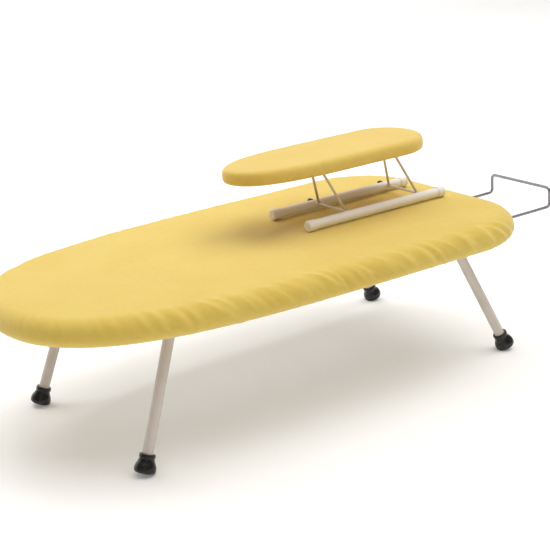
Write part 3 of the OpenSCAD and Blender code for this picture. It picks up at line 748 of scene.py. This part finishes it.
for end, joint, side, leg in (("nose", "nose_leg_fold", -1, NOSE_LEG),
                              ("tail", "tail_leg_fold", 1, TAIL_LEG)):
    for where, row in (("front", -1), ("rear", 1)):
        foot = make_foot(f"{end}_{where}_rubber_foot", JOINTS[joint]["pos_m"], side, row, leg)
        paint(foot, "foot_rubber")
        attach(foot, end + "_legs")
        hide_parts(f"{end}_foot_{where}")

for end in ("nose", "tail"):
    arch = make_arch(end + "_stand_arch", end + "_stand_wire")
    paint(arch, "stand_enamel")
    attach(arch, end + "_stand")
    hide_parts(end + "_stand_wire")


# ---- floor, light and camera ----

FLOOR_HALF = 6.0
SWEEP_START, SWEEP_R = 2.0, 1.5

# The view: turn round the object, height angle and roll in degrees, focal length in mm, then
# the distance and the shifts in metres from a point at CAMERA_BASE_X on the table.
CAMERA_TURN = -33.964
CAMERA_RISE = 18.389
CAMERA_ROLL = -3.968
CAMERA_LENS = 89.68
CAMERA_AWAY = 1.70744
CAMERA_RIGHT = 0.02543
CAMERA_UP = 0.13392
CAMERA_BASE_X = -0.0678


def make_floor():
    """A pale sweep, faintly lit from within: flat, then a quarter circle up far behind."""
    bend = np.linspace(0.1, np.pi / 2, 12)
    x = np.array([-FLOOR_HALF, FLOOR_HALF])
    y = np.concatenate([[-FLOOR_HALF, SWEEP_START], SWEEP_START + SWEEP_R * np.sin(bend),
                        [SWEEP_START + SWEEP_R]])
    z = np.concatenate([[0.0, 0.0], SWEEP_R - SWEEP_R * np.cos(bend), [FLOOR_HALF]])
    points = np.stack([np.repeat(x, len(y)), np.tile(y, 2), np.tile(z, 2)], -1)
    floor = mesh_piece("floor", points, grid_faces(2, len(y), closed=False))
    white = new_material("studio_white", (0.92, 0.92, 0.92), 0.9,
                         Emission_Color=(1, 1, 1, 1), Emission_Strength=0.15)[0]
    floor.data.materials.append(white)


def put(item, right, up, back, place):
    """Puts a lamp or the camera at place, looking along -back."""
    item.matrix_world = Matrix([[right[i], up[i], back[i], place[i]] for i in range(3)]
                               + [[0, 0, 0, 1]])
    bpy.context.scene.collection.objects.link(item)


def soft_light(name, place, aim, size, power, colour=(1, 1, 1)):
    """A square soft box at place that faces aim."""
    lamp = bpy.data.lights.new(name, "AREA")
    lamp.shape = "SQUARE"
    lamp.size = size
    lamp.energy = power
    lamp.color = colour
    back = np.subtract(place, aim)
    back /= np.linalg.norm(back)
    right = np.cross([0, 0, 1], back)
    right /= np.linalg.norm(right)
    put(bpy.data.objects.new(name, lamp), right, np.cross(back, right), back, place)


def make_camera():
    """A camera given by its turn round the object, its height angle, its roll and its place."""
    turn, rise, roll = np.radians(CAMERA_TURN), np.radians(CAMERA_RISE), np.radians(CAMERA_ROLL)
    back = np.array([np.sin(turn) * np.cos(rise), -np.cos(turn) * np.cos(rise), np.sin(rise)])
    right = np.array([np.cos(turn), np.sin(turn), 0])
    up = np.cross(back, right)
    right, up = (right * np.cos(roll) + up * np.sin(roll),
                 up * np.cos(roll) - right * np.sin(roll))
    place = (np.array([CAMERA_BASE_X, 0, 0]) + back * CAMERA_AWAY + right * CAMERA_RIGHT
             + up * CAMERA_UP)
    lens = bpy.data.cameras.new("camera")
    lens.lens = CAMERA_LENS
    lens.sensor_width = 36
    lens.clip_end = 50
    camera = bpy.data.objects.new("camera", lens)
    put(camera, right, up, back, place)
    bpy.context.scene.camera = camera


make_floor()
soft_light("key", place=(1.5, -0.7, 3.05), aim=(0, 0, 0.15), size=1.8, power=10)
soft_light("top", place=(0.7, -0.3, 3.3), aim=(0, 0.1, 0.1), size=3.8, power=102)
soft_light("front_fill", place=(-1.8, -2.8, 1.2), aim=(0, 0, 0.1), size=2.0, power=5,
           colour=(1.0, 0.7, 0.42))
soft_light("backdrop", place=(-0.6, 1.4, 2.6), aim=(-0.8, 3.4, 0.9), size=1.5, power=60)
world = bpy.data.worlds.new("studio")
world.use_nodes = True
surround = world.node_tree.nodes["Background"].inputs
surround["Color"].default_value = (1, 0.93, 0.84, 1)
surround["Strength"].default_value = 0.24
bpy.context.scene.world = world
bpy.context.scene.view_settings.view_transform = "Standard"
make_camera()
